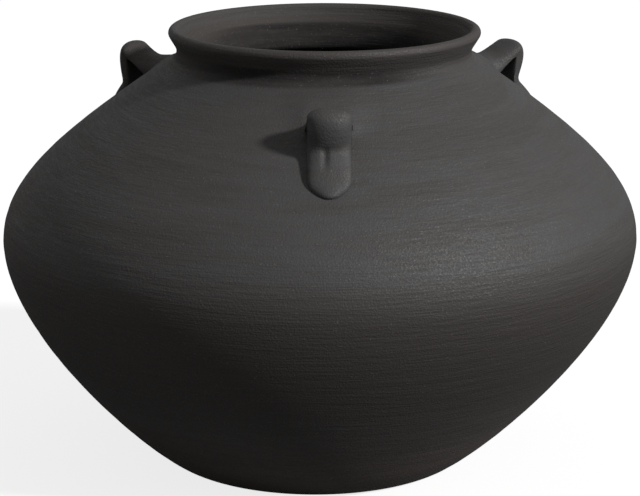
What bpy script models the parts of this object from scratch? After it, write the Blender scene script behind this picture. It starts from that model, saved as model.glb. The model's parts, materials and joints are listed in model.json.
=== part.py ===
"""Squat black earthenware vase with a rolled lip and three strap lugs.

The clay is built up as a potter would: a flat base disc, two thrown walls that meet at the
belly, a neck collar with a rolled lip, and three strap lugs on the shoulder. Metres, +Z up,
origin at the centre of the foot. The first lug faces -Y.
"""

from collections import namedtuple
from math import cos, pi, radians, sin, sqrt

import bmesh
import bpy
from mathutils import Matrix, Vector
from mathutils.geometry import interpolate_bezier

# Body outline, measured on the outside of the clay
FOOT_RADIUS = 0.069
FOOT_SOFTNESS = 0.0085
BELLY_RADIUS = 0.150
BELLY_HEIGHT = 0.1078
BELLY_PULL_DOWN = 0.042
BELLY_PULL_UP = 0.0279
SHOULDER_RISE = 0.0855
SHOULDER_PULL = 0.0638
SHOULDER_SLOPE = radians(35)
NECK_RADIUS = 0.0691

# Clay thickness, and the hairline that is left where two pieces are luted together
WALL = 0.0075
BASE_THICKNESS = 0.009
LUTE_GAP = 0.0003

# Neck collar, from the shoulder's edge upwards
COLLAR_RISE = 0.0133
COLLAR_WALL = 0.0066
WAIST_DEPTH = 0.0006
WAIST_RISE = 0.0016
LIP_FLARE = 0.0042
LIP_THICKNESS = 0.0064

# Strap lugs: run is measured down the shoulder from the neck, rise is square to the shoulder
LUG_ROOT_RUN = 0.0130
LUG_ANKLE_RISE = 0.0086
LUG_TOE_RISE = 0.0010
LUG_ROOT_SLOPE = radians(8)
LUG_BROW_SLOPE = radians(-33)
LUG_TOE_DIP = radians(26)
LUG_ROOT_PULL = 0.0150
LUG_SADDLE_PULL = 0.0076
LUG_BROW_PULL = 0.0040
LUG_LEG_PULL = 0.0165
LUG_ANKLE_PULL = 0.0033
LUG_TOE_PULL = 0.0169
LUG_THICKNESS = 0.0040
LUG_ROOT_THICKNESS = 0.0238
LUG_TOE_THICKNESS = 0.0080
LUG_WIDTH = 0.0186
LUG_BROW_WIDTH = 0.0191
LUG_TOE_LENGTH = 0.008
LUG_TOE_TIP = 0.4
LUG_EDGE_POWER = 2.8

# Each lug was pulled by hand, so its angle about +Z, its arch and its tongue are its own
FRONT_ANGLE = radians(-87.9)
FRONT_BROW_RUN = 0.0318
FRONT_BROW_RISE = 0.0132
FRONT_ANKLE_RUN = 0.0460
FRONT_LEG_LEAN = radians(24)
FRONT_TOE_RUN = 0.0690
RIGHT_ANGLE = radians(32.5)
RIGHT_BROW_RUN = 0.0303
RIGHT_BROW_RISE = 0.0171
RIGHT_ANKLE_RUN = 0.0434
RIGHT_LEG_LEAN = radians(24)
RIGHT_TOE_RUN = 0.0682
LEFT_ANGLE = radians(148.9)
LEFT_BROW_RUN = 0.0313
LEFT_BROW_RISE = 0.0170
LEFT_ANKLE_RUN = 0.0450
LEFT_LEG_LEAN = radians(20)
LEFT_TOE_RUN = 0.0610

# Fineness of the mesh
TURN_STEPS = 72
BODY_STEPS = 12
FINE_STEPS = 48
LIP_STEPS = 8
LUG_STEPS = 8
TOE_STEPS = 4
LUG_SIDES = 12
MERGE_DISTANCE = 0.00001

CLAY_ROUGHNESS = 0.72
BODY_COLOUR = (0.062, 0.058, 0.056, 1)
LOWER_COLOUR = (0.040, 0.037, 0.034, 1)
LIP_COLOUR = (0.070, 0.066, 0.064, 1)

Lug = namedtuple("Lug", "angle brow_run brow_rise ankle_run leg_lean toe_run")
LUGS = {
    "handle_front": Lug(FRONT_ANGLE, FRONT_BROW_RUN, FRONT_BROW_RISE,
                        FRONT_ANKLE_RUN, FRONT_LEG_LEAN, FRONT_TOE_RUN),
    "handle_right": Lug(RIGHT_ANGLE, RIGHT_BROW_RUN, RIGHT_BROW_RISE,
                        RIGHT_ANKLE_RUN, RIGHT_LEG_LEAN, RIGHT_TOE_RUN),
    "handle_left": Lug(LEFT_ANGLE, LEFT_BROW_RUN, LEFT_BROW_RISE,
                       LEFT_ANKLE_RUN, LEFT_LEG_LEAN, LEFT_TOE_RUN),
}


def clear_scene():
    for old in list(bpy.data.objects):
        bpy.data.objects.remove(old, do_unlink=True)


def new_collection(name):
    collection = bpy.data.collections.new(name)
    bpy.context.scene.collection.children.link(collection)
    return collection


def clay(name, colour):
    material = bpy.data.materials.new(name)
    material.use_nodes = True
    shader = material.node_tree.nodes["Principled BSDF"]
    shader.inputs["Base Color"].default_value = colour
    shader.inputs["Roughness"].default_value = CLAY_ROUGHNESS
    shader.inputs["Metallic"].default_value = 0.0
    return material


def point(radius, height):
    return Vector((radius, 0, height))


def curve_points(start, start_pull, end_pull, end, steps):
    """Points on one smooth arc that leaves start and enters end along the two pulls."""
    arc = interpolate_bezier(start, start + start_pull, end + end_pull, end, steps + 1)
    return [Vector(p) for p in arc]


def shoulder_edge():
    return point(NECK_RADIUS, BELLY_HEIGHT + SHOULDER_RISE)


def shoulder_outline(steps):
    """Outside of the upper wall, from the neck down to the belly."""
    slope = Vector((cos(SHOULDER_SLOPE), 0, -sin(SHOULDER_SLOPE)))
    belly = point(BELLY_RADIUS, BELLY_HEIGHT)
    return curve_points(shoulder_edge(), slope * SHOULDER_PULL,
                        point(0, BELLY_PULL_UP), belly, steps)


def lower_outline(steps):
    """Outside of the lower wall and the foot, from the belly down to the floor."""
    belly = point(BELLY_RADIUS, BELLY_HEIGHT)
    return curve_points(belly, point(0, -BELLY_PULL_DOWN),
                        point(FOOT_SOFTNESS, 0), point(FOOT_RADIUS, 0), steps)


def body_outline():
    """Outside of both walls in one line, from the neck down to the floor."""
    return shoulder_outline(BODY_STEPS) + lower_outline(BODY_STEPS)[1:]


def offset(outline, distance):
    """The outline moved square to itself, outwards where distance is positive."""
    moved = []
    for i, here in enumerate(outline):
        before = outline[max(i - 1, 0)]
        after = outline[min(i + 1, len(outline) - 1)]
        along = (after - before).normalized()
        outward = Vector((-along.z, 0, along.x))
        moved.append(here + outward * distance)
    return moved


def between(a, b, value, axis):
    share = (value - a[axis]) / (b[axis] - a[axis])
    return a.lerp(b, share)


def above(outline, height):
    """The part of a falling outline that is above height, ending exactly on it."""
    kept = [p for p in outline if p.z > height]
    if len(kept) < len(outline):
        kept.append(between(outline[len(kept) - 1], outline[len(kept)], height, 2))
    return kept


def below(outline, height):
    """The part of a falling outline that is below height, starting exactly on it."""
    kept = [p for p in outline if p.z < height]
    first = len(outline) - len(kept)
    if first > 0:
        kept.insert(0, between(outline[first - 1], outline[first], height, 2))
    return kept


def outside(outline, radius):
    """The part of a widening outline that is beyond radius, starting exactly on it."""
    kept = [p for p in outline if p.x > radius]
    first = len(outline) - len(kept)
    if first > 0:
        kept.insert(0, between(outline[first - 1], outline[first], radius, 0))
    return kept


def add_object(name, mesh, collection, material):
    made = bpy.data.objects.new(name, mesh)
    collection.objects.link(made)
    if material:
        mesh.materials.append(material)
    return made


def turned(name, outline, ring, collection, material=None):
    """Turn an outline about +Z. A ring outline closes on itself, the others end on the axis."""
    edges = [(i, i + 1) for i in range(len(outline) - 1)]
    if ring:
        edges.append((len(outline) - 1, 0))
    mesh = bpy.data.meshes.new(name)
    mesh.from_pydata([tuple(p) for p in outline], edges, [])
    made = add_object(name, mesh, collection, material)
    screw = made.modifiers.new("turn", "SCREW")
    screw.axis = "Z"
    screw.angle = 2 * pi
    screw.steps = TURN_STEPS
    screw.render_steps = TURN_STEPS
    screw.use_merge_vertices = True
    screw.merge_threshold = MERGE_DISTANCE
    screw.use_smooth_shade = True
    return made


def base_disc(collection):
    """Flat slab of clay, with the foot's soft edge as its rim."""
    rim = below(lower_outline(FINE_STEPS), BASE_THICKNESS)
    outline = [point(0, BASE_THICKNESS)] + rim + [point(0, 0)]
    return turned("base_disc", outline, False, collection, clay("base_clay", LOWER_COLOUR))


def lower_wall(collection):
    """Thrown wall that flares from the base disc to the belly."""
    seat = BASE_THICKNESS + LUTE_GAP
    outline = body_outline()
    outer = above(below(outline, BELLY_HEIGHT), seat)
    inner = above(below(offset(outline, -WALL), BELLY_HEIGHT), seat)
    return turned("lower_wall", outer + inner[::-1], True, collection,
                  clay("lower_clay", LOWER_COLOUR))


def upper_wall(collection):
    """Thrown wall that closes in from the belly to the neck opening."""
    outline = body_outline()
    seat = BELLY_HEIGHT + LUTE_GAP
    outer = above(outline, seat)
    mouth_radius = NECK_RADIUS - COLLAR_WALL
    lining = offset(outline, -WALL)
    lining.insert(0, lining[0] + (lining[0] - lining[1]))
    inner = above(outside(lining, mouth_radius), seat)
    mouth_edge = point(mouth_radius, outer[0].z)
    return turned("upper_wall", outer + inner[::-1] + [mouth_edge], True, collection,
                  clay("upper_clay", BODY_COLOUR))


def neck_collar(collection):
    """Short collar luted round the opening: a slight waist, then a flare to the rolled lip."""
    root = shoulder_edge() + point(0, LUTE_GAP)
    mouth = point(NECK_RADIUS - COLLAR_WALL, root.z)
    roll = LIP_THICKNESS / 2
    roll_height = shoulder_edge().z + COLLAR_RISE - roll
    roll_centre = point(NECK_RADIUS + LIP_FLARE - roll, roll_height)
    lip = []
    for i in range(LIP_STEPS + 1):
        turn = pi - i * pi / LIP_STEPS
        lip.append(roll_centre + point(roll * cos(turn), roll * sin(turn)))
    waist = point(NECK_RADIUS - WAIST_DEPTH, root.z + WAIST_RISE)
    pull = point(0, (roll_height - waist.z) / 2)
    flare = curve_points(lip[-1], -pull, pull, waist, LIP_STEPS // 2)
    bore = curve_points(mouth, pull, -pull, lip[0], LIP_STEPS // 2)
    outline = lip + flare[1:] + [root, mouth] + bore[1:-1]
    return turned("neck_collar", outline, True, collection, clay("collar_clay", LIP_COLOUR))


def on_shoulder(run, rise):
    """Place at a run from the neck and a rise over the shoulder, with its downhill direction."""
    outline = shoulder_outline(FINE_STEPS)
    travelled = 0.0
    for a, b in zip(outline, outline[1:]):
        step = (b - a).length
        if travelled + step >= run or b is outline[-1]:
            along = (b - a).normalized()
            outward = Vector((-along.z, 0, along.x))
            return a + along * (run - travelled) + outward * rise, along
        travelled += step


def heading(slope):
    """Direction in the plane of +X and +Z that falls at a slope below level."""
    return Vector((cos(slope), 0, -sin(slope)))


def ease(share):
    return share * share * (3 - 2 * share)


def lug_line(lug):
    """Outer side of a lug: up to the brow, over and down to the ankle, then out to the toe."""
    root, _ = on_shoulder(LUG_ROOT_RUN, 0)
    brow, _ = on_shoulder(lug.brow_run, lug.brow_rise)
    ankle, _ = on_shoulder(lug.ankle_run, LUG_ANKLE_RISE)
    toe, downhill = on_shoulder(lug.toe_run, LUG_TOE_RISE)
    over_brow = heading(LUG_BROW_SLOPE)
    down_leg = heading(pi / 2 + lug.leg_lean)
    dive = downhill.copy()
    dive.rotate(Matrix.Rotation(LUG_TOE_DIP, 3, "Y"))
    arm = curve_points(root, heading(LUG_ROOT_SLOPE) * LUG_ROOT_PULL,
                       -over_brow * LUG_SADDLE_PULL, brow, LUG_STEPS)
    leg = curve_points(brow, over_brow * LUG_BROW_PULL,
                       -down_leg * LUG_LEG_PULL, ankle, LUG_STEPS)
    tongue = curve_points(ankle, down_leg * LUG_ANKLE_PULL,
                          -dive * LUG_TOE_PULL, toe, LUG_STEPS)
    tip = []
    for i in range(1, TOE_STEPS + 1):
        tip.append(tongue[-2].lerp(toe, sin(i / TOE_STEPS * pi / 2)))
    return arm + leg[1:] + tongue[1:-1] + tip


def lug_sections(lug):
    """Outer point, inward direction, thickness and width of each section, root to toe."""
    line = lug_line(lug)
    sections = []
    for i, here in enumerate(line):
        along = (line[min(i + 1, len(line) - 1)] - line[max(i - 1, 0)]).normalized()
        inward = Vector((along.z, 0, -along.x))
        to_brow = sin(min(i / LUG_STEPS, 1) * pi / 2)
        to_ankle = ease(min(max(i / LUG_STEPS - 1, 0), 1))
        to_tongue = min(max(i / LUG_STEPS - 2, 0) * 2, 1)
        thickness = LUG_ROOT_THICKNESS + to_brow * (LUG_THICKNESS - LUG_ROOT_THICKNESS)
        thickness += to_tongue * (LUG_TOE_THICKNESS - LUG_THICKNESS)
        width = LUG_WIDTH + (to_brow - to_ankle) * (LUG_BROW_WIDTH - LUG_WIDTH)
        left = min((here - line[-1]).length / LUG_TOE_LENGTH, 1)
        width *= max(sqrt(1 - (1 - left) ** 2), LUG_TOE_TIP)
        sections.append((here, inward, thickness, width))
    return sections


def rounded(share, power):
    """Point on a rounded rectangle of half sizes one, at a share of the way round it."""
    turn = 2 * pi * share
    x = abs(cos(turn)) ** (2 / power)
    y = abs(sin(turn)) ** (2 / power)
    return x if cos(turn) > 0 else -x, y if sin(turn) > 0 else -y


def lug_mesh(name, lug):
    """Strap skinned over its sections, closed at both ends, in the plane of +X and +Z."""
    strap = bmesh.new()
    rings = []
    for outer, inward, thickness, width in lug_sections(lug):
        centre = outer + inward * thickness / 2
        ring = []
        for i in range(LUG_SIDES):
            across, over = rounded((i + 0.5) / LUG_SIDES, LUG_EDGE_POWER)
            place = centre + Vector((0, across * width / 2, 0)) - inward * over * thickness / 2
            ring.append(strap.verts.new(place))
        rings.append(ring)
    for ring, following in zip(rings, rings[1:]):
        for i in range(LUG_SIDES):
            j = (i + 1) % LUG_SIDES
            strap.faces.new((ring[i], ring[j], following[j], following[i]))
    strap.faces.new(rings[0])
    strap.faces.new(rings[-1])
    bmesh.ops.recalc_face_normals(strap, faces=strap.faces)
    mesh = bpy.data.meshes.new(name)
    strap.to_mesh(mesh)
    strap.free()
    mesh.shade_smooth()
    return mesh


def shoulder_cutter(collection):
    """The body's outside, one hairline larger, which trims the underside of every lug."""
    outline = offset(shoulder_outline(BODY_STEPS), LUTE_GAP)
    outline = [point(0, outline[0].z)] + outline + [point(0, outline[-1].z)]
    cutter = turned("shoulder_cutter", outline, False, collection)
    cutter.display_type = "WIRE"
    cutter.hide_render = True
    return cutter


def lugs(collection, cutter):
    lug_clay = clay("lug_clay", BODY_COLOUR)
    for name, lug in LUGS.items():
        strap = add_object(name, lug_mesh(name, lug), collection, lug_clay)
        strap.rotation_euler.z = lug.angle
        seat = strap.modifiers.new("seat", "BOOLEAN")
        seat.operation = "DIFFERENCE"
        seat.solver = "EXACT"
        seat.object = cutter


def main():
    clear_scene()
    vase = new_collection("vase")
    cutters = new_collection("cutters")
    base_disc(vase)
    lower_wall(vase)
    upper_wall(vase)
    neck_collar(vase)
    lugs(vase, shoulder_cutter(cutters))


main()
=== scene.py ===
# %% [markdown]
# # A squat vase of black earthenware
#
# The real pot is thrown on a wheel from dark clay: a round body, a short neck with a rolled lip,
# and three straps of clay that are pressed on to the shoulder as lugs. It is fired without a
# glaze, so its surface is matt, with fine rings from the potter's fingers.
#
# The imported CAD model comes first. It is the fixed frame that every piece here is built around,
# and its parts stay in the scene.

# %% Load the imported model
import json
from functools import reduce
from math import atan2, cos, exp, pi, radians, sin, sqrt
from operator import add, mul

import bmesh
import bpy
from mathutils import Matrix, Quaternion, Vector, noise
from mathutils.bvhtree import BVHTree
from mathutils.geometry import interpolate_bezier

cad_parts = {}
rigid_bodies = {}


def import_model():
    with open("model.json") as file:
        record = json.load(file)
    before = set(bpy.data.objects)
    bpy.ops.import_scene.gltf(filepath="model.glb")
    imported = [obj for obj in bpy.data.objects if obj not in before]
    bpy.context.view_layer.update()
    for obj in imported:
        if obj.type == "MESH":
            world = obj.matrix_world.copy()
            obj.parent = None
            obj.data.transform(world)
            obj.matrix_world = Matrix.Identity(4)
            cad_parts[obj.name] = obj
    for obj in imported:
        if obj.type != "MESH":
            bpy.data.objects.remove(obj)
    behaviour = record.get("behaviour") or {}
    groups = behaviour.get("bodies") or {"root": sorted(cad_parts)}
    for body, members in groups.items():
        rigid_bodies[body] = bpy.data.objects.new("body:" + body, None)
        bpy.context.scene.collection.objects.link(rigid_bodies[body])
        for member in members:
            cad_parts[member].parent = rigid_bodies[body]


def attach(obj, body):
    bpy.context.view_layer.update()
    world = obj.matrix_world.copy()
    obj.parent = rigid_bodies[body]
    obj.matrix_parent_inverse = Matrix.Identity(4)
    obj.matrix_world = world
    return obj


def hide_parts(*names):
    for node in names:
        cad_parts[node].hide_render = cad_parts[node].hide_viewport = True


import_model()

bpy.context.view_layer.update()

# %% [markdown]
# ## The potter's line
#
# Everything on a wheel follows from one line: the outline of the wall, turned about the axis.
# A few smooth arcs give it, each with a start, an end and two pulls, as in a drawing program.
# The belly, the neck and the foot lie where the CAD has them, so the values are the same.

# %% Draw the outside of the body
BELLY_RADIUS = 0.150
BELLY_HEIGHT = 0.1078
FOOT_RADIUS = 0.069
NECK_RADIUS = 0.0691
SHOULDER_RISE = 0.0855
SHOULDER_SLOPE = radians(35)
SHOULDER_STEPS = 78
UNDERSIDE_STEPS = 62


def spot(radius, height):
    """Place on the outline, or a step along it."""
    return Vector((radius, 0, height))


def heading(slope):
    """Direction outwards that falls at a slope below level."""
    return Vector((cos(slope), 0, -sin(slope)))


def arc(start, start_pull, end_pull, end, steps):
    """Smooth line from start to end, as a list of points."""
    curve = interpolate_bezier(start, start + start_pull, end + end_pull, end, steps + 1)
    return [Vector(p) for p in curve]


SHOULDER_PULLS = (heading(SHOULDER_SLOPE) * 0.0638, spot(0, 0.0279))
UNDERSIDE_PULLS = (spot(0, -0.042), spot(0.0085, 0))

belly = spot(BELLY_RADIUS, BELLY_HEIGHT)
neck_edge = spot(NECK_RADIUS, BELLY_HEIGHT + SHOULDER_RISE)
shoulder = arc(neck_edge, *SHOULDER_PULLS, belly, SHOULDER_STEPS)
underside = arc(belly, *UNDERSIDE_PULLS, spot(FOOT_RADIUS, 0), UNDERSIDE_STEPS)
print("outline from neck to foot:", len(shoulder) + len(underside) - 1, "points")

# %% [markdown]
# ## The neck and the rolled lip
#
# The potter pulls the neck up, turns its edge outwards and rounds it with a wet finger. The neck
# leans out towards the lip, so it faces down and lies in the shade. The outline gets an oval
# roll, a nearly straight flare down to the waist, and a round hollow where the neck meets the
# shoulder. The hollow takes the place of the shoulder's first step.

# %% Draw the neck and the lip
NECK_RISE = 0.0133
WAIST_RISE = 0.0040
WAIST_OUT = 0.0004
LIP_OUT = 0.0040
LIP_HALF_WIDTH = 0.0025
LIP_HALF_HEIGHT = 0.0025
LIP_ANGLES = range(-36, 169, 12)
FLARE_PULLS = (spot(-0.0010, -0.0019), spot(0.0008, 0.0019))
HOLLOW_PULLS = (spot(-0.0009, -0.0022), -heading(SHOULDER_SLOPE) * 0.0021)
HOLLOW_END = 1

rim_height = BELLY_HEIGHT + SHOULDER_RISE + NECK_RISE
waist = spot(NECK_RADIUS + WAIST_OUT, neck_edge.z + WAIST_RISE)
roll = spot(NECK_RADIUS + LIP_OUT - LIP_HALF_WIDTH, rim_height - LIP_HALF_HEIGHT)
lip = [roll + spot(cos(radians(a)) * LIP_HALF_WIDTH, sin(radians(a)) * LIP_HALF_HEIGHT)
       for a in LIP_ANGLES]
flare = arc(lip[0], *FLARE_PULLS, waist, 12)
hollow = arc(waist, *HOLLOW_PULLS, shoulder[HOLLOW_END], 10)
print("rim", round(rim_height * 1000, 1), "mm up, lip of", len(lip), "points")

# %% [markdown]
# ## The inside
#
# Inside, a thrown wall runs along with the outside, one wall's thickness away. At the lip it
# falls steeply to the throat, and it opens again under the shoulder. Little of it shows, so
# every third point of the outside is enough there. The outline is then put together in one
# piece, from the middle of the foot, up the outside, over the lip and down to the inner floor.

# %% Draw the inside and join the outline
WALL = 0.0075
BASE_THICKNESS = 0.009
LINING_END = 0.004
THROAT_WALL = 0.0068
THROAT_DEPTH = 0.0055
HEARTH_WIDTH = 0.006


def inset(line, depth):
    """The line moved square to itself, into the clay."""
    moved = []
    for i, here in enumerate(line):
        along = (line[min(i + 1, len(line) - 1)] - line[max(i - 1, 0)]).normalized()
        moved.append(here + Vector((along.z, 0, -along.x)) * depth)
    return moved


wall_line = shoulder[6::3] + underside[3:-14:3]
lining = [p for p in inset(wall_line, WALL) if p.z > BASE_THICKNESS + LINING_END]
narrowest = spot(NECK_RADIUS - THROAT_WALL, neck_edge.z - THROAT_DEPTH)
funnel = arc(lip[-1], spot(-0.0007, -0.0040), spot(0, 0.0080), narrowest, 16)
throat = arc(narrowest, spot(0, -0.0050), (lining[0] - lining[1]) * 1.2, lining[0], 8)
floor_edge = spot(lining[-1].x - HEARTH_WIDTH, BASE_THICKNESS)
hearth = arc(lining[-1], (lining[-1] - lining[-2]) * 0.6, spot(0.004, 0), floor_edge, 6)
inner_floor = [spot(floor_edge.x * share, BASE_THICKNESS) for share in (0.75, 0.5, 0.25, 0)]
under_foot = [spot(FOOT_RADIUS * share, 0) for share in (0, 0.3, 0.6, 0.85)]

outer_line = under_foot + underside[::-1] + shoulder[HOLLOW_END:-1][::-1] + hollow[-2::-1]
mouth_line = flare[-2::-1] + lip[1:] + funnel[1:] + throat[1:]
outline = outer_line + mouth_line + lining[1:] + hearth[1:] + inner_floor
print("whole outline:", len(outline), "points, throat", round(narrowest.x * 2000, 1), "mm wide")

# %% [markdown]
# ## Turn the body
#
# The outline becomes a line of vertices, and bmesh's spin turns it about the axis, just as the
# wheel does. One wedge is spun finely and then copied round, which is much faster than 384 steps
# of the whole. Merging close vertices closes the seams between wedges and both poles.

# %% Spin the outline into the body
WEDGES = 8
WEDGE_STEPS = 48
MERGE_DISTANCE = 0.000005


def new_piece(name, mesh_in_work):
    """Object in the scene, smoothly shaded, made of a bmesh that is then let go."""
    mesh = bpy.data.meshes.new(name)
    mesh_in_work.to_mesh(mesh)
    mesh_in_work.free()
    mesh.shade_smooth()
    piece = bpy.data.objects.new(name, mesh)
    bpy.context.scene.collection.objects.link(piece)
    return piece


body = bmesh.new()
chain = [body.verts.new(p) for p in outline]
for a, b in zip(chain, chain[1:]):
    body.edges.new((a, b))
wedge_angle = 2 * pi / WEDGES
bmesh.ops.spin(body, geom=body.verts[:] + body.edges[:], axis=(0, 0, 1), cent=(0, 0, 0),
               angle=wedge_angle, steps=WEDGE_STEPS)
bmesh.ops.spin(body, geom=body.verts[:] + body.edges[:] + body.faces[:], axis=(0, 0, 1),
               cent=(0, 0, 0), angle=2 * pi - wedge_angle, steps=WEDGES - 1, use_duplicate=True)
bmesh.ops.remove_doubles(body, verts=body.verts, dist=MERGE_DISTANCE)
bmesh.ops.recalc_face_normals(body, faces=body.faces)
print("body:", len(body.verts), "vertices,", len(body.faces), "faces")

# %% [markdown]
# ## The lugs
#
# Each lug is a strap of clay. It is pressed on below the neck, arches up to a brow, drops to the
# shoulder again and ends in a tongue that was smoothed down with a thumb, which left a groove.
#
# Places on a lug are given as a run, which is a distance down the shoulder from the neck, and
# a rise square to the shoulder. A small function turns the two into a place in space, so a lug
# sits right on the shoulder wherever it goes.

# %% Measure along the shoulder
def on_shoulder(run, rise):
    """Place at a run and a rise, with the downhill direction there."""
    travelled = 0.0
    for a, b in zip(shoulder, shoulder[1:]):
        step = (b - a).length
        if travelled + step >= run or b is shoulder[-1]:
            along = (b - a).normalized()
            outward = Vector((-along.z, 0, along.x))
            return a + along * (run - travelled) + outward * rise, along
        travelled += step


print("shoulder at 40 mm down:", [round(v * 1000, 1) for v in on_shoulder(0.04, 0)[0]])

# %% [markdown]
# ## A lug's outer line
#
# Three arcs follow each other: the arm up to the brow, the leg down to the ankle, and the tongue
# that dives under the skin of the shoulder. The three lugs were pulled by hand, so each has its
# own arch and tongue, measured on the photograph, while the pulls of the arcs are shared.

# %% Draw the three lines
LUG_STEPS = 14
ROOT_RUN = 0.0125
ANKLE_RISE = 0.0086
TOE_RISE = 0.0012
TOE_DIP = radians(26)
ARM_PULLS = (0.0150, 0.0096)
LEG_PULLS = (0.0062, 0.0155)
TONGUE_PULLS = (0.0033, 0.0169)

LUG_SHAPES = {
    "front": dict(angle=radians(-88.6), root_slope=radians(20), brow_run=0.0310,
                  brow_rise=0.0145, brow_slope=radians(-38), ankle_run=0.0465,
                  lean=radians(18), toe_run=0.0692, ankle=0.0096,
                  twist=radians(9), thumb=1.0),
    "right": dict(angle=radians(32.5), root_slope=radians(8), brow_run=0.0313,
                  brow_rise=0.0186, brow_slope=radians(-28), ankle_run=0.0468,
                  lean=radians(20), toe_run=0.0702, ankle=0.0118,
                  twist=radians(-3), thumb=0.1),
    "left": dict(angle=radians(148.9), root_slope=radians(8), brow_run=0.0322,
                 brow_rise=0.0178, brow_slope=radians(-36), ankle_run=0.0476,
                 lean=radians(15), toe_run=0.0622, ankle=0.0096,
                 twist=radians(4), thumb=0.1),
}


def lug_line(shape):
    """Points along the top of a lug, from root to toe."""
    root = on_shoulder(ROOT_RUN, 0)[0]
    brow = on_shoulder(shape["brow_run"], shape["brow_rise"])[0]
    ankle = on_shoulder(shape["ankle_run"], ANKLE_RISE)[0]
    toe, dive = on_shoulder(shape["toe_run"], TOE_RISE)
    dive.rotate(Matrix.Rotation(TOE_DIP, 3, "Y"))
    start = heading(shape["root_slope"])
    over = heading(shape["brow_slope"])
    down = heading(pi / 2 + shape["lean"])
    arm = arc(root, start * ARM_PULLS[0], over * -ARM_PULLS[1], brow, LUG_STEPS)
    leg = arc(brow, over * LEG_PULLS[0], down * -LEG_PULLS[1], ankle, LUG_STEPS)
    tongue = arc(ankle, down * TONGUE_PULLS[0], dive * -TONGUE_PULLS[1], toe, LUG_STEPS)
    return arm + leg[1:] + tongue[1:]


for side, shape in LUG_SHAPES.items():
    print(side, "lug rises to", round(max(p.z for p in lug_line(shape)) * 1000, 1), "mm")

# %% [markdown]
# ## How thick and wide a strap is
#
# A strap that was pulled and bent is thick at its root, thin over the brow and thick again at
# the ankle, and it ends in a round tip. Its line is its top, so the middle of each section lies
# below the line. The root reaches only a few millimetres into the wall, so that nothing of it
# comes out inside the pot.
#
# A place along the lug counts from 0 at the root to 1 at the brow, 2 at the ankle and 3 at the
# toe, so a thickness or a width can be said for each of them and eased in between.

# %% Sections of a strap
ROOT, BROW, TOE = 0.0238, 0.0064, 0.0052
ROOT_SPEED = 1.1
ANKLE_START, ANKLE_REACH = 1.1, 0.9
BURIED = 0.0055
DOME = 0.68
WIDTH = 0.0190
BROW_EXTRA = 0.0010
ROOT_EXTRA = 0.004
TIP_LENGTH = 0.0098
TIP_SHARE = 0.30


def ease(share):
    """0 below 0, 1 above 1 and smooth between them."""
    share = min(max(share, 0), 1)
    return share * share * (3 - 2 * share)


def thickness_at(here, place, ankle):
    """Thickness of the strap at a place along it."""
    thickness = ROOT + sin(min(place * ROOT_SPEED, 1) * pi / 2) * (BROW - ROOT)
    thickness += min(max(place - ANKLE_START, 0) / ANKLE_REACH, 1) * (ankle - BROW)
    thickness += max(place - 2, 0) * (TOE - ankle)
    above = min((here - p).length for p in shoulder)
    return min(thickness, above + BURIED)


def width_at(place, left):
    """Width of the strap at a place along it, with some length of line left to the toe."""
    width = WIDTH + (ease(place) - ease(place - 1)) * BROW_EXTRA + (1 - ease(place)) * ROOT_EXTRA
    return width * max(sqrt(1 - (1 - min(left / TIP_LENGTH, 1)) ** 2), TIP_SHARE)


def section_frames(line, twist, ankle):
    """Matrices that take a ring of radius one, lying flat, to its places across the strap."""
    frames = []
    last = len(line) - 1
    for i, here in enumerate(line):
        along = (line[min(i + 1, last)] - line[max(i - 1, 0)]).normalized()
        outward = Vector((-along.z, 0, along.x))
        place = i / LUG_STEPS
        thickness = thickness_at(here, place, ankle)
        width = width_at(place, (here - line[-1]).length)
        sideways = Vector((0, 1, 0))
        sideways.rotate(Quaternion(outward, twist * sin(min(place, 2) * pi / 2)))
        turn = Matrix((sideways, outward, outward.cross(sideways))).transposed().to_4x4()
        size = Matrix.Diagonal((width / 2, thickness / 2, 1, 1))
        frames.append(Matrix.Translation(here - outward * thickness * DOME) @ turn @ size)
    return frames


print("strap:", BROW * 1000, "mm thick at the brow,", TOE * 1000, "mm at the toe")

# %% [markdown]
# ## From a line to a strap
#
# A ring of vertices stands across the strap at its root. It is extruded from place to place
# along the line, and each time moved, turned and stretched to the strap's width and thickness
# there. That keeps one even band of faces from root to toe, which subdivides cleanly.
#
# A pulled strap is domed on top and flat below, so the upper half of the ring is taller and
# rounder than the lower half. Under the arch the rings crowd together, so there each row of
# vertices is smoothed along the strap, as a finger in the loop would do.

# %% Extrude a ring along the strap
RING_SIDES = 48
TOP_POWER = 2.0
UNDER_POWER = 3.0
ARCH_START, ARCH_END = 7, 31
ARCH_PASSES = 45
EDGE_TURN = 0.1


def turn_of(vertex, place):
    """Where a vertex sits round its ring, as an angle that starts beside one edge."""
    local = place.inverted() @ vertex.co
    return (atan2(local.y, local.x) + EDGE_TURN) % (2 * pi)


def smooth_under(rings, frames):
    """Even out the rows of vertices on the under side, from the arm to the leg."""
    ordered = [sorted(ring, key=lambda v, place=place: turn_of(v, place))
               for ring, place in zip(rings, frames)]
    for row in list(zip(*ordered))[RING_SIDES // 2 + 1:]:
        arch = row[ARCH_START - 1:ARCH_END + 1]
        for _ in range(ARCH_PASSES):
            for before, here, after in zip(arch, arch[1:], arch[2:]):
                here.co = here.co * 0.5 + (before.co + after.co) * 0.25


def flat_ring(made):
    """Ring of radius one whose upper half is tall and round, and whose lower half is squarer."""
    bmesh.ops.create_circle(made, segments=RING_SIDES, radius=1)
    for v in made.verts:
        on_top = v.co.y > 0
        power = 2 / (TOP_POWER if on_top else UNDER_POWER)
        for axis in (0, 1):
            v.co[axis] = abs(v.co[axis]) ** power * (1 if v.co[axis] > 0 else -1)
        v.co.y *= 2 * (DOME if on_top else 1 - DOME)


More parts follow.
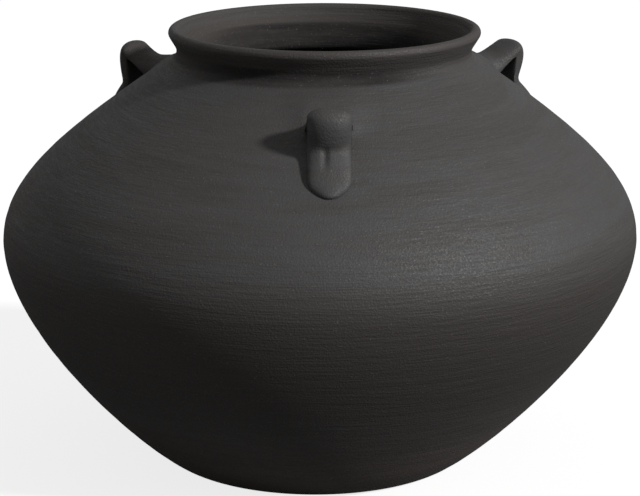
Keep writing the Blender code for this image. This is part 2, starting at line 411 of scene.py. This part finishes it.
def strap(frames):
    """Strap through a row of frames, with the list of its rings of vertices."""
    made = bmesh.new()
    flat_ring(made)
    made.transform(frames[0])
    first = last = made.edges[:]
    rings = [made.verts[:]]
    for before, after in zip(frames, frames[1:]):
        grown = bmesh.ops.extrude_edge_only(made, edges=last)["geom"]
        ring = [g for g in grown if isinstance(g, bmesh.types.BMVert)]
        last = [g for g in grown if isinstance(g, bmesh.types.BMEdge)
                and g.verts[0] in ring and g.verts[1] in ring]
        bmesh.ops.transform(made, matrix=after @ before.inverted(), verts=ring)
        rings.append(ring)
    smooth_under(rings, frames)
    bmesh.ops.holes_fill(made, edges=first + last, sides=0)
    bmesh.ops.recalc_face_normals(made, faces=made.faces)
    return made, rings


print("each strap has", 3 * LUG_STEPS + 1, "rings of", RING_SIDES, "vertices")

# %% [markdown]
# ## Thumb marks
#
# A thumb drawn down the tongue flattens its dome and leaves a narrow groove beside the middle,
# and no two places on a hand-pulled strap are equally thick. Both are small pushes into the
# clay, and the unevenness is smooth noise of a few tenths of a millimetre. A subdivision surface
# then rounds what the coarse rings leave.

# %% Press the groove and make the three lugs
GROOVE_DEPTH = 0.0013
GROOVE_REACH = 0.12
GROOVE_OFFSET = -0.20
GROOVE_END = 0.72
GROOVE_FADES = (0.25, 0.3)
THUMB_DEPTH = 0.0014
THUMB_FADES = (0.3, 0.25)
LUMP_HEIGHT = 0.00035
LUMP_SIZE = 0.011
LUMP_SHIFT = 7.3
ROUNDING_LEVELS = 2


def faded(share, end, fades):
    """Eased from 0 at the start of the tongue, and back to 0 at an end."""
    return ease(share / fades[0]) * ease((end - share) / fades[1])


def press_thumb(rings, frames, pressure):
    """Push the top of the tongue down, most of all along the groove."""
    for i, (ring, place) in enumerate(zip(rings, frames)):
        share = i / LUG_STEPS - 2
        groove = pressure * GROOVE_DEPTH * faded(share, GROOVE_END, GROOVE_FADES)
        flat = pressure * THUMB_DEPTH * faded(share, 1, THUMB_FADES)
        outward = place.col[1].to_3d().normalized()
        for v in ring:
            local = place.inverted() @ v.co
            if local.y > 0:
                narrow = exp(-((local.x - GROOVE_OFFSET) / GROOVE_REACH) ** 2)
                v.co -= outward * (groove * narrow + flat * (1 - local.x ** 2))


def lumpy(mesh_in_work, seed):
    """Make a surface slightly uneven, differently for each seed."""
    shift = Vector((seed * LUMP_SHIFT, 0, 0))
    for v in mesh_in_work.verts:
        v.co += v.normal * noise.noise(v.co / LUMP_SIZE + shift) * LUMP_HEIGHT


lugs = {}
for seed, (side, shape) in enumerate(LUG_SHAPES.items()):
    frames = section_frames(lug_line(shape), shape["twist"], shape["ankle"])
    made, rings = strap(frames)
    press_thumb(rings, frames, shape["thumb"])
    made.normal_update()
    lumpy(made, seed)
    made.transform(Matrix.Rotation(shape["angle"], 4, "Z"))
    lug = new_piece(side + "_lug", made)
    rounding = lug.modifiers.new("rounding", "SUBSURF")
    rounding.levels = rounding.render_levels = ROUNDING_LEVELS
    lugs[side] = lug
    print(lug.name, [round(v * 1000, 1) for v in lug.dimensions], "mm")

# %% [markdown]
# ## Luting the lugs on
#
# Where clay is pressed on clay, the potter smears the joint with slip, so the shoulder runs up
# to the strap in a small hollow. Here each vertex of the body near a lug is raised, most where
# it touches and less with distance. The arm's root is smeared widely, the tongue hardly at all,
# which leaves the fine dark line round its end. A search tree over each lug finds the distances.

# %% Raise the clay round each lug
# Each row holds a distance from the axis, and the reach and the height of the smear there.
SMEAR = ((0.088, 0.0130, 0.0044), (0.098, 0.0050, 0.0014), (0.112, 0.0026, 0.0006),
         (0.118, 0.0014, 0.0002), (0.121, 0.0010, 0.0))
SMEAR_SHARE = {"front": 0.4, "right": 0.8, "left": 0.5}
SMEAR_END_RUN = 0.085
SMEAR_START = NECK_RADIUS - 0.004
SEARCH_REACH = 0.02
DEEPEST = 0.005
UPWARD = 0.2


def smear_at(radius):
    """Reach and height of the smear at a distance from the axis."""
    if radius <= SMEAR[0][0]:
        return SMEAR[0][1:]
    for near, far in zip(SMEAR, SMEAR[1:]):
        if radius < far[0]:
            share = (radius - near[0]) / (far[0] - near[0])
            return [a + (b - a) * share for a, b in zip(near[1:], far[1:])]
    return SMEAR[-1][1:]


bpy.context.view_layer.update()
depsgraph = bpy.context.evaluated_depsgraph_get()
surfaces = [(BVHTree.FromObject(lug, depsgraph), SMEAR_SHARE[side]) for side, lug in lugs.items()]
lowest = on_shoulder(SMEAR_END_RUN, 0)[0].z
body.normal_update()
raised = 0
for v in body.verts:
    radius = v.co.xy.length
    if v.co.z < lowest or v.normal.z < UPWARD or radius < SMEAR_START:
        continue
    reach, height = smear_at(radius)
    for surface, share in surfaces:
        near, facing, _, distance = surface.find_nearest(v.co, SEARCH_REACH)
        if near is None:
            continue
        inside = distance < DEEPEST and (v.co - near).dot(facing) < 0
        closeness = 1 if inside else max(1 - distance / reach, 0)
        if closeness > 0:
            v.co += v.normal * height * share * closeness ** 2
            raised += 1
            break
print("raised", raised, "vertices round the lugs")

# %% [markdown]
# ## A pot is never perfectly round
#
# The wheel leaves faint rings, the wall wanders by a few tenths of a millimetre, and this pot
# leans a little to the right. The rings are noise that changes fast with height and slowly
# round the pot. The lean is a shear, so that the foot stays flat and the belly keeps its place.

# %% Throwing rings, wander and lean
RING_HEIGHT = 0.00012
RING_SPACING = 0.0042
WANDER = 0.0003
WANDER_SPACING = 0.05
WANDER_TURNS = 1.4
FOOT_TOP = 0.002
FLOOR_CENTRE = 0.03
LEAN = 0.0215


def unevenness(co):
    """How far the wall stands out at a place, as rings and as a slower wander."""
    around = co.xy.normalized() if co.xy.length > 0.001 else Vector((0, 0))
    wide = (around.x * WANDER_TURNS, around.y * WANDER_TURNS, co.z / WANDER_SPACING)
    rings_noise = noise.noise(Vector((around.x, around.y, co.z / RING_SPACING)))
    wide_noise = noise.noise(Vector(wide))
    return rings_noise * RING_HEIGHT + (wide_noise - 1) * 0.5 * WANDER


def lean(mesh_in_work):
    """Shift every place to the right, the more the higher it is above the belly."""
    shear = Matrix.Identity(4)
    shear[0][2] = LEAN
    shear[0][3] = -LEAN * BELLY_HEIGHT
    mesh_in_work.transform(shear)


for v in body.verts:
    outward = Vector((v.co.x, v.co.y, 0))
    if v.co.z > FOOT_TOP and outward.length > FLOOR_CENTRE:
        v.co += outward.normalized() * unevenness(v.co)
lean(body)
body.normal_update()
vase_body = new_piece("vase_body", body)
for lug in lugs.values():
    lean(lug.data)
print("vase body:", [round(v * 1000, 2) for v in vase_body.dimensions], "mm")

# %% [markdown]
# ## A small language for shaders
#
# A shader is a network of nodes, and wiring each one by hand hides what it is for. So a socket
# is wrapped in a small class whose + - * add Math nodes, and one method adds any other node.
# A pattern can then be written like a formula.

# %% Shader maths
class Signal:
    """A shader socket that can take part in a formula."""

    def __init__(self, paint, socket):
        self.paint = paint
        self.socket = socket

    def combined(self, operation, first, second):
        return self.paint.node("ShaderNodeMath", {"operation": operation}, {0: first, 1: second})

    def __add__(self, other):
        return self.combined("ADD", self, other)

    def __sub__(self, other):
        return self.combined("SUBTRACT", self, other)

    def __rsub__(self, other):
        return self.combined("SUBTRACT", other, self)

    def __mul__(self, other):
        return self.combined("MULTIPLY", self, other)

    def span(self, low, high):
        """0 at low, 1 at high and smooth between them."""
        return self.paint.node("ShaderNodeMapRange", {"interpolation_type": "SMOOTHSTEP"},
                               {"Value": self, "From Min": low, "From Max": high})

    __radd__ = __add__
    __rmul__ = __mul__


class Paint:
    """A node tree, and the method that adds a node to it."""

    def __init__(self, tree):
        self.tree = tree
        tree.nodes.clear()

    def node(self, kind, settings, sockets, output=0):
        made = self.tree.nodes.new(kind)
        for name, value in settings.items():
            setattr(made, name, value)
        for name, value in sockets.items():
            if isinstance(value, Signal):
                self.tree.links.new(value.socket, made.inputs[name])
            else:
                made.inputs[name].default_value = value
        return Signal(self, made.outputs[output]) if made.outputs else None

    def blend(self, share, first, second):
        """Mix of two colours."""
        return self.node("ShaderNodeMix", {"data_type": "RGBA"},
                         {0: share, 6: first, 7: second}, output=2)


def new_paint(name):
    """Material with an empty node tree."""
    material = bpy.data.materials.new(name)
    material.use_nodes = True
    return material, Paint(material.node_tree)


print("shader maths ready")

# %% [markdown]
# ## Where the clay changes
#
# The clay's colour changes over the pot. Shade is painted into it under the belly, round the neck
# under the lip, in a ring at the front of the neck's base where the lip's shadow falls, inside
# the mouth and down the throat. The foot is browner, and lighter with painted light thrown up
# from the floor; the lip is browner and darker, and the far left is browner. Each such region is
# a mask, made of smooth steps over the height, over the distance from the axis or over the place
# from left to right. They are read from the place on the piece, in metres, so they stay put from
# every side.

# %% Masks for the regions of the pot
REGIONS = {
    # Painted shade under the belly, where the surface faces down.
    "under_belly_shade": (("height", 0.126, 0.100), ("height", 0.030, 0.066)),
    # At the foot a browner tint, and painted light thrown up from the floor.
    "foot": (("height", 0.056, 0.004),),
    # Painted shade inside the mouth.
    "inside": (("radius", 0.0695, 0.0675), ("height", 0.150, 0.170)),
    # Deep painted shade down the throat.
    "throat": (("radius", 0.0695, 0.0675), ("height", 0.150, 0.170),
               ("height", 0.1990, 0.1870)),
    # Painted shade round the neck, under the lip.
    "neck": (("radius", 0.0730, 0.0710), ("height", 0.2025, 0.2000),
             ("height", 0.186, 0.190)),
    # Ring of painted shadow at the front of the neck's base, where the lip's shadow falls.
    "lip_shadow_ring": (("radius", 0.0742, 0.0714), ("height", 0.1990, 0.1965),
              ("height", 0.186, 0.190), ("across", 0.062, 0.020), ("across", -0.064, -0.032)),
    "lip": (("radius", 0.0680, 0.0700), ("height", 0.2000, 0.2025)),
    "left": (("across", -0.118, -0.146),),
}


def regions(paint, place):
    """How strongly each region is present, from 0 to 1."""
    level = paint.node("ShaderNodeVectorMath", {"operation": "MULTIPLY"}, {0: place, 1: (1, 1, 0)})
    measures = {
        "across": paint.node("ShaderNodeSeparateXYZ", {}, {"Vector": place}, output=0),
        "height": paint.node("ShaderNodeSeparateXYZ", {}, {"Vector": place}, output=2),
        "radius": paint.node("ShaderNodeVectorMath", {"operation": "LENGTH"}, {0: level},
                             output=1),
    }
    return {name: reduce(mul, [measures[axis].span(low, high) for axis, low, high in steps])
            for name, steps in REGIONS.items()}


print("regions:", ", ".join(REGIONS))

# %% [markdown]
# ## Lines, sand and clouds
#
# Fingers and sponge leave fine level lines, sand in the clay leaves pale grains, and smoke
# leaves soft bands and clouds. All are noise, stretched differently. A level line is noise that
# is squeezed in height: it changes within a millimetre or three upwards, and only over some
# centimetres sideways. Its grain is counted per metre, so sand is as fine on a lug as on the
# belly.

# %% Noise for the marks on the clay
# Each row holds the grain along x, y and z, as counts per metre, then the detail and a seed.
NOISES = {
    "bands": ((10, 10, 90), 3.0, 6.2),
    "sand": ((1150, 1150, 1150), 2.0, 2.3),
    "mottle": ((260, 260, 420), 2.0, 3.6),
    "cloud": ((13, 13, 22), 3.0, 8.9),
}
# Where a noise counts as a mark: none at the first value, a full mark at the second.
MARKS = {"strokes": (0.60, 0.30), "bands": (0.58, 0.38), "mottle": (0.60, 0.34),
         "cloud": (0.46, 0.70), "grains": (0.65, 0.74)}


def stretched_noise(paint, place, stretch, detail, seed):
    """Noise whose grain has its own size along each axis."""
    grid = paint.node("ShaderNodeMapping", {}, {"Vector": place, "Location": (seed, seed, seed),
                                                "Scale": stretch})
    return paint.node("ShaderNodeTexNoise", {}, {"Vector": grid, "Scale": 1.0,
                                                 "Detail": detail, "Roughness": 0.6})


def noises(paint, place, line_stretch):
    """Every noise by name, with the lines as fine as this piece needs them."""
    wide, fine = line_stretch
    kinds = {"strokes": (wide, 3.0, 1.7), "threads": (fine, 2.0, 4.1), **NOISES}
    return {name: stretched_noise(paint, place, *kind) for name, kind in kinds.items()}


print("marks:", ", ".join(MARKS))

# %% [markdown]
# ## Coats of colour
#
# The fired clay is charcoal black, with warm patches, a browner foot, darker streaks of soot and
# pale grains of sand. Painted shade lies under the belly, round the neck and in a ring at its
# base, inside and down the throat, and painted light from the floor lightens the foot. One blend
# after the other lays these over the charcoal as coats. Each coat is a sum of regions and marks,
# every one with its own share, and on the right and left lugs the coats of painted shade are
# thicker, most of all on the left one. As a table, all of them can be read and changed at one
# glance.

# %% Coats of clay and soot
CHARCOAL = (0.0530, 0.0520, 0.0520, 1)
WARM_CHARCOAL = (0.0600, 0.0500, 0.0460, 1)
# Soot colour: for the darker streaks, as painted shade under the belly, inside, round the neck and
# on the lugs, and to darken the lip.
SOOT_AND_SHADE = (0.0400, 0.0350, 0.0320, 1)
# Deep painted shade.
DEEP_SHADE = (0.0100, 0.0090, 0.0090, 1)
GRAIN = (0.1500, 0.1440, 0.1380, 1)
# Browner earth at the foot, lighter too, as painted light thrown up from the floor.
EARTH_AND_FLOOR_LIGHT = (0.0800, 0.0640, 0.0560, 1)
# Colour of each coat, its shares, and how much of it the lug's painted shade adds.
COATS = (
    (WARM_CHARCOAL, {"cloud": 0.3, "foot": 0.5, "lip": 0.5, "left": 0.6}, 0.0),
    # Browner foot, with painted light from the floor.
    (EARTH_AND_FLOOR_LIGHT, {"foot": 0.95}, 0.0),
    # Painted shade under the belly, inside and round the neck, a darker lip, and the lugs' painted
    # shade.
    (SOOT_AND_SHADE, {"under_belly_shade": 0.95, "inside": 0.45, "neck": 0.7, "lip": 0.6}, 1.0),
    # Deep painted shade down the throat, in the ring at the neck's base, under the belly and on
    # the lugs.
    (DEEP_SHADE, {"throat": 1.0, "lip_shadow_ring": 0.85, "under_belly_shade": 0.14}, 0.35),
    (SOOT_AND_SHADE, {"strokes": 0.28, "bands": 0.38, "mottle": 0.14}, 0.0),
    (GRAIN, {"grains": 0.5}, 0.0),
)


def coloured(paint, present, lug_shade):
    """Colour of the clay, with every coat on it."""
    tone = CHARCOAL
    for colour, shares, lug_shade_share in COATS:
        cover = reduce(add, [present[name] * share for name, share in shares.items()])
        tone = paint.blend(cover + lug_shade * lug_shade_share, tone, colour)
    return tone


print("coats:", len(COATS))

# %% [markdown]
# ## Relief and roughness
#
# The lines and the sand that colour the clay also stand up from it, by less than a millimetre,
# so a bump is enough for them. Roughness is high, because dry clay has no mirror in it. It is
# highest in the ring of painted shadow at the neck's base, which keeps that ring dull, and
# inside, where the relief is also fainter.
#
# The body was turned under the fingers, so its lines are long and deep. The lugs were pulled by
# hand and smoothed, so theirs are shorter and fainter. Painted shade darkens the left lug's clay
# most, and the right lug's a little.

# %% Mix a clay for each piece
RELIEF_HEIGHT = 0.00034
THREAD_RELIEF, MOTTLE_RELIEF, SAND_RELIEF = 0.75, 0.1, 0.72
CLAY_ROUGHNESS = 0.66
SAND_GLOSS, THREAD_GLOSS = 0.7, 0.3
INSIDE_SMOOTHNESS, INSIDE_EVENNESS = 0.6, 0.7
# Extra roughness inside the mouth, and in the ring of painted shadow, where it dulls the sheen.
INSIDE_ROUGHNESS, LIP_SHADOW_ROUGHNESS = 0.16, 0.34
SPECULAR = 0.42
BODY_LINES = ((28, 28, 330), (55, 55, 1000))
LUG_LINES = ((60, 60, 200), (170, 170, 600))
LUG_LINE_STRENGTH = 0.45
# Share of painted shade in each lug's clay, most on the left lug.
LUG_PAINTED_SHADE = {"front": 0.0, "right": 0.1, "left": 1.0}


def clay(name, line_strength, line_stretch, lug_shade):
    """Material for a piece, with its own lines and its own share of painted shade."""
    material, paint = new_paint(name)
    place = paint.node("ShaderNodeTexCoord", {}, {}, output=3)
    found = noises(paint, place, line_stretch)
    sources = {**found, "grains": found["sand"]}
    marks = {mark: sources[mark].span(*ends) for mark, ends in MARKS.items()}
    region = regions(paint, place)
    threads, sand, inside = found["threads"], found["sand"], region["inside"]

    lines = found["strokes"] * line_strength + threads * (THREAD_RELIEF * line_strength)
    grit = found["mottle"] * MOTTLE_RELIEF + sand * SAND_RELIEF
    relief = lines + grit * (1 - inside * INSIDE_SMOOTHNESS)
    uneven = (0.5 - sand) * SAND_GLOSS + (0.5 - threads) * THREAD_GLOSS
    roughness = uneven * (1 - inside * INSIDE_EVENNESS) + inside * INSIDE_ROUGHNESS
    roughness += region["lip_shadow_ring"] * LIP_SHADOW_ROUGHNESS
    shader = paint.node("ShaderNodeBsdfPrincipled", {}, {
        "Base Color": coloured(paint, {**region, **marks}, lug_shade),
        "Roughness": roughness + CLAY_ROUGHNESS,
        "Normal": paint.node("ShaderNodeBump", {}, {
            "Strength": 1.0, "Distance": RELIEF_HEIGHT, "Height": relief}),
        "Specular IOR Level": SPECULAR})
    paint.node("ShaderNodeOutputMaterial", {}, {"Surface": shader})
    return material


body_clay = clay("black_clay", 1.0, BODY_LINES, 0.0)
lug_clay = {side: clay("black_clay_" + side, LUG_LINE_STRENGTH, LUG_LINES, lug_shade)
            for side, lug_shade in LUG_PAINTED_SHADE.items()}
print("materials:", body_clay.name, [m.name for m in lug_clay.values()])

# %% [markdown]
# ## Hand the pieces over
#
# Each piece gets its clay and is tied to the frame: it rides on the one rigid body, and it takes
# the place of the solids that it shows, which are hidden. The body shows four solids at once,
# because the fired pot has no seams between them.

# %% Tie the pieces to the frame
vase_body.data.materials.append(body_clay)
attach(vase_body, "root")
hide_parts("base_disc", "lower_wall", "upper_wall", "neck_collar")
for side, lug in lugs.items():
    lug.data.materials.append(lug_clay[side])
    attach(lug, "root")
    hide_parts("handle_" + side)
print("pieces:", 1 + len(lugs))

# %% [markdown]
# ## The table and the white room
#
# The photograph has a white background. The camera sees the floor as nearly white, with the
# pot's soft shadow on it, while the light that the floor throws back on the clay stays low, as
# in the photograph, where the lower half of the pot is dark. Light Path tells the two apart.
# The clay's reflection is so blunt that a fully white room would lie over it like dust, so
# reflections see only a little of the white.

# %% Floor and world
ROOM_LIGHT = 0.30
FLOOR_BOUNCE = 0.12
FLOOR_SHADE = 0.28
FLOOR_GLOW = 0.80
FLOOR_HALF_SIZE = 6
FLOOR_DROP = 0.0001
GLOSS_SHARE = 0.04


def grey(value):
    """Colour without a tint."""
    return (value, value, value, 1)


def seen_directly(paint):
    """1 where the camera looks, or looks through glass, and a little for blunt reflections."""
    ray = paint.node("ShaderNodeLightPath", {}, {})
    nodes = ray.socket.node.outputs
    glossy = Signal(paint, nodes["Is Glossy Ray"])
    through = Signal(paint, nodes["Is Transmission Ray"])
    return ray + through + glossy * GLOSS_SHARE


table = bmesh.new()
bmesh.ops.create_grid(table, x_segments=4, y_segments=4, size=FLOOR_HALF_SIZE)
bmesh.ops.translate(table, verts=table.verts, vec=(0, 0, -FLOOR_DROP))
floor = new_piece("floor", table)
floor_material, paint = new_paint("pale_floor")
dim = paint.node("ShaderNodeBsdfDiffuse", {}, {"Color": grey(FLOOR_BOUNCE)})
pale = paint.node("ShaderNodeBsdfDiffuse", {}, {"Color": grey(FLOOR_SHADE)})
glow = paint.node("ShaderNodeEmission", {}, {"Strength": FLOOR_GLOW})
bright = paint.node("ShaderNodeAddShader", {}, {0: pale, 1: glow})
surface = paint.node("ShaderNodeMixShader", {}, {0: seen_directly(paint), 1: dim, 2: bright})
paint.node("ShaderNodeOutputMaterial", {}, {"Surface": surface})
floor.data.materials.append(floor_material)

world = bpy.data.worlds.new("white_room")
bpy.context.scene.world = world
world.use_nodes = True
paint = Paint(world.node_tree)
strength = seen_directly(paint) * (1 - ROOM_LIGHT) + ROOM_LIGHT
room = paint.node("ShaderNodeBackground", {}, {"Color": grey(1), "Strength": strength})
paint.node("ShaderNodeOutputWorld", {}, {"Surface": room})
print("floor and white room ready")

# %% [markdown]
# ## One lamp
#
# The shadow of the front lug tells where the lamp stood: to the right of the camera and about
# thirty degrees up. Its edge is soft but clear, which a lamp of a few degrees across gives.

# %% Key light
LAMP_TURN = radians(60)
LAMP_LIFT = radians(30.5)
LAMP_SPREAD = radians(6)
LAMP_STRENGTH = 3.25


def toward(turn, lift):
    """Direction from the vase, turned to the right of the front and lifted."""
    return Vector((sin(turn) * cos(lift), -cos(turn) * cos(lift), sin(lift)))


lamp = bpy.data.lights.new("key", "SUN")
lamp.energy = LAMP_STRENGTH
lamp.angle = LAMP_SPREAD
key = bpy.data.objects.new("key", lamp)
key.rotation_euler = toward(LAMP_TURN, LAMP_LIFT).to_track_quat("Z", "Y").to_euler()
bpy.context.scene.collection.objects.link(key)
print("key light energy", lamp.energy)

# %% [markdown]
# ## The camera
#
# The rim and the foot look like ellipses, and how flat they are gives the camera's height. How
# much they differ gives its distance. A long lens from a little over a metre fits both.

# %% Camera
CAMERA_DISTANCE = 1.146
CAMERA_LIFT = radians(14.25)
CAMERA_PIVOT = Vector((0, 0, 0.1033))
CAMERA_AIM = Vector((0, 0, 0.0994))
LENS = 134.93
SENSOR_WIDTH = 36

camera_data = bpy.data.cameras.new("camera")
camera_data.sensor_width = SENSOR_WIDTH
camera_data.lens = LENS
camera = bpy.data.objects.new("camera", camera_data)
camera.location = CAMERA_PIVOT + toward(0, CAMERA_LIFT) * CAMERA_DISTANCE
camera.rotation_euler = (camera.location - CAMERA_AIM).to_track_quat("Z", "Y").to_euler()
bpy.context.scene.collection.objects.link(camera)
bpy.context.scene.camera = camera
bpy.context.scene.view_settings.view_transform = "Standard"
print("camera at", [round(v, 3) for v in camera.location])

# %% [markdown]
# ## Finish
#
# The dressed vase is built to fit the CAD model's box. At the end the scene is brought up to
# date.

# %% Finish
bpy.context.view_layer.update()
